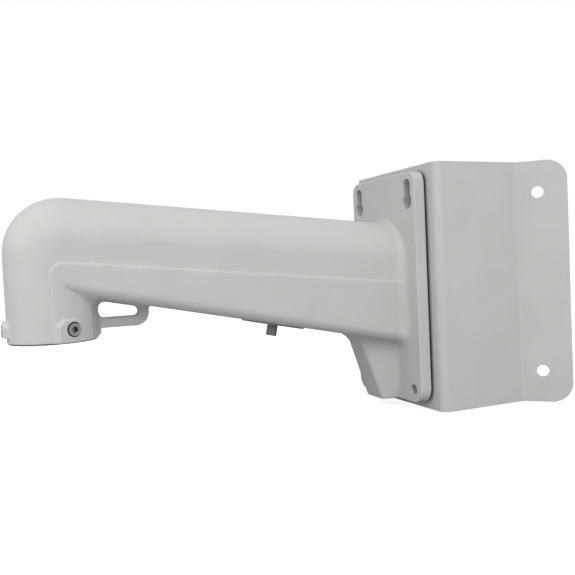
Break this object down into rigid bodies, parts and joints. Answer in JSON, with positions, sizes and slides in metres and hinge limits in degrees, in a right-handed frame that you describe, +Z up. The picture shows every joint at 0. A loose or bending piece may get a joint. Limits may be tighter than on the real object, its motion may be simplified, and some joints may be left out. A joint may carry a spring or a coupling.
{
  "type": "pendant dome camera wall bracket",
  "caption": "Hollow wall arm with a down-turned threaded neck for a pendant dome camera, on a bent-sheet adapter that wraps the outside corner of a building.",
  "frame": {"origin": "on the vertical corner edge of the building, at the mid-height of the adapter", "axes": "+Z up; the arm reaches out along -Y; the two walls are the planes y = |x|, with the building on their +Y side; +X is to the right of a person who faces the corner"},
  "size_m": [0.1768, 0.4184, 0.194],
  "materials": {
    "coated_casting": "fine-textured light grey powder coat on die-cast aluminium",
    "coated_sheet": "fine-textured light grey powder coat on bent steel sheet",
    "black_rubber": "matt",
    "stainless_steel": "turned stainless steel",
    "zinc_plated_steel": "zinc plated"
  },
  "bodies": {
    "bracket": {"arm_casting": "coated_casting", "corner_adapter": "coated_sheet", "plate_gasket": "black_rubber", "neck_seal": "black_rubber", "bolt_upper_right": "zinc_plated_steel", "bolt_upper_left": "zinc_plated_steel", "bolt_lower_right": "zinc_plated_steel", "bolt_lower_left": "zinc_plated_steel", "spring_washer_upper_right": "zinc_plated_steel", "spring_washer_upper_left": "zinc_plated_steel", "spring_washer_lower_right": "zinc_plated_steel", "spring_washer_lower_left": "zinc_plated_steel", "flat_washer_upper_right": "zinc_plated_steel", "flat_washer_upper_left": "zinc_plated_steel", "flat_washer_lower_right": "zinc_plated_steel", "flat_washer_lower_left": "zinc_plated_steel"},
    "lock_screw_right": {"lock_screw_right": "stainless_steel"},
    "lock_screw_front": {"lock_screw_front": "stainless_steel"},
    "lock_screw_left": {"lock_screw_left": "stainless_steel"},
    "hatch": {"hatch_cover": "coated_sheet", "hatch_seal": "black_rubber"},
    "hatch_screw": {"hatch_screw": "stainless_steel", "hatch_clip": "stainless_steel"}
  },
  "joints": [
    {"name": "lock_screw_right_travel", "type": "slide", "parent": "bracket", "child": "lock_screw_right", "axis": [0.9397, 0.342, 0], "range_m": [-0.0012, 0.005]},
    {"name": "lock_screw_front_travel", "type": "slide", "parent": "bracket", "child": "lock_screw_front", "axis": [0, -1, 0], "range_m": [-0.0012, 0.005]},
    {"name": "lock_screw_left_travel", "type": "slide", "parent": "bracket", "child": "lock_screw_left", "axis": [-0.9397, 0.342, 0], "range_m": [-0.0012, 0.005]},
    {"name": "hatch_lift", "type": "slide", "parent": "bracket", "child": "hatch", "axis": [0, -0.2055, -0.9787], "range_m": [0, 0.012]},
    {"name": "hatch_screw_travel", "type": "slide", "parent": "hatch", "child": "hatch_screw", "axis": [0, -0.2055, -0.9787], "range_m": [0, 0.0026]}
  ]
}
